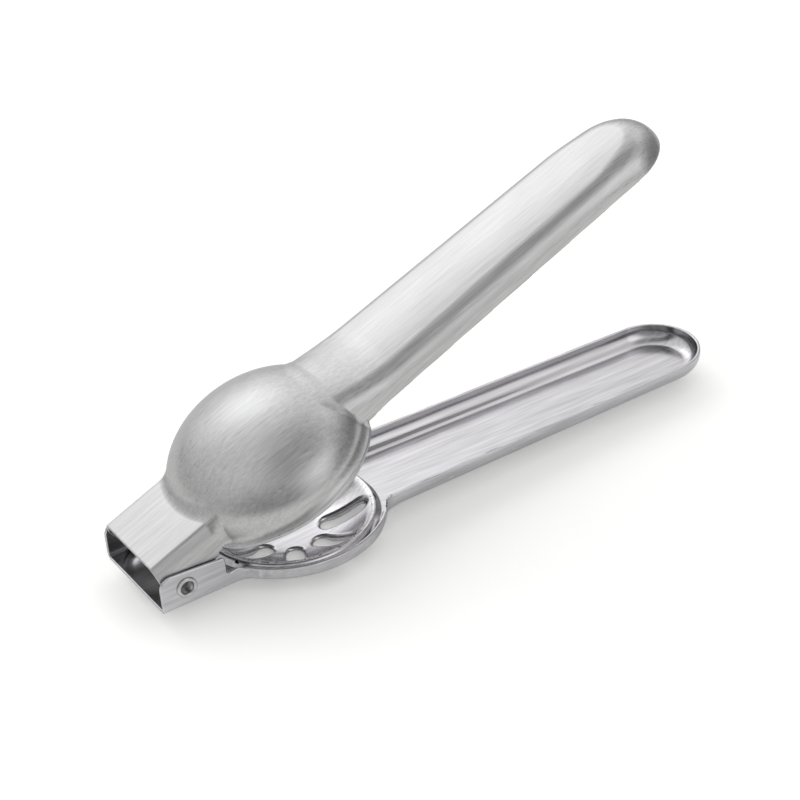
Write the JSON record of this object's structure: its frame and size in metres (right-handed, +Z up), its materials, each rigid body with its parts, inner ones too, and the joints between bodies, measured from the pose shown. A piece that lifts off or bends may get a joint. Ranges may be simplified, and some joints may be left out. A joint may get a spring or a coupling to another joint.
{
  "type": "hinged hand press",
  "caption": "Stamped steel hand press: a domed cup on a long handle closes over a slotted dish, hinged on hollow rivets.",
  "frame": {"origin": "middle of the hinge axis, halfway between the two hollow rivets", "axes": "+X towards the handles along the lower arm, +Y across the arm along the hinge axis, +Z up out of the open dish"},
  "size_m": [0.2054, 0.0656, 0.0944],
  "materials": {
    "satin_sheet": "smooth satin stainless sheet",
    "brushed_sheet": "stainless sheet brushed along the arm",
    "rivet_steel": "bright tumbled steel"
  },
  "bodies": {
    "lower": {"lower_hinge": "satin_sheet", "lower_dish": "satin_sheet", "lower_handle": "satin_sheet", "right_rivet": "rivet_steel", "left_rivet": "rivet_steel"},
    "upper": {"upper_hinge": "brushed_sheet", "upper_cup": "brushed_sheet", "upper_handle": "brushed_sheet"}
  },
  "joints": [
    {"name": "arm_hinge", "type": "hinge", "parent": "lower", "child": "upper", "pos_m": [0, 0, 0], "axis": [0, -1, 0], "range_deg": [-22, 58]}
  ]
}
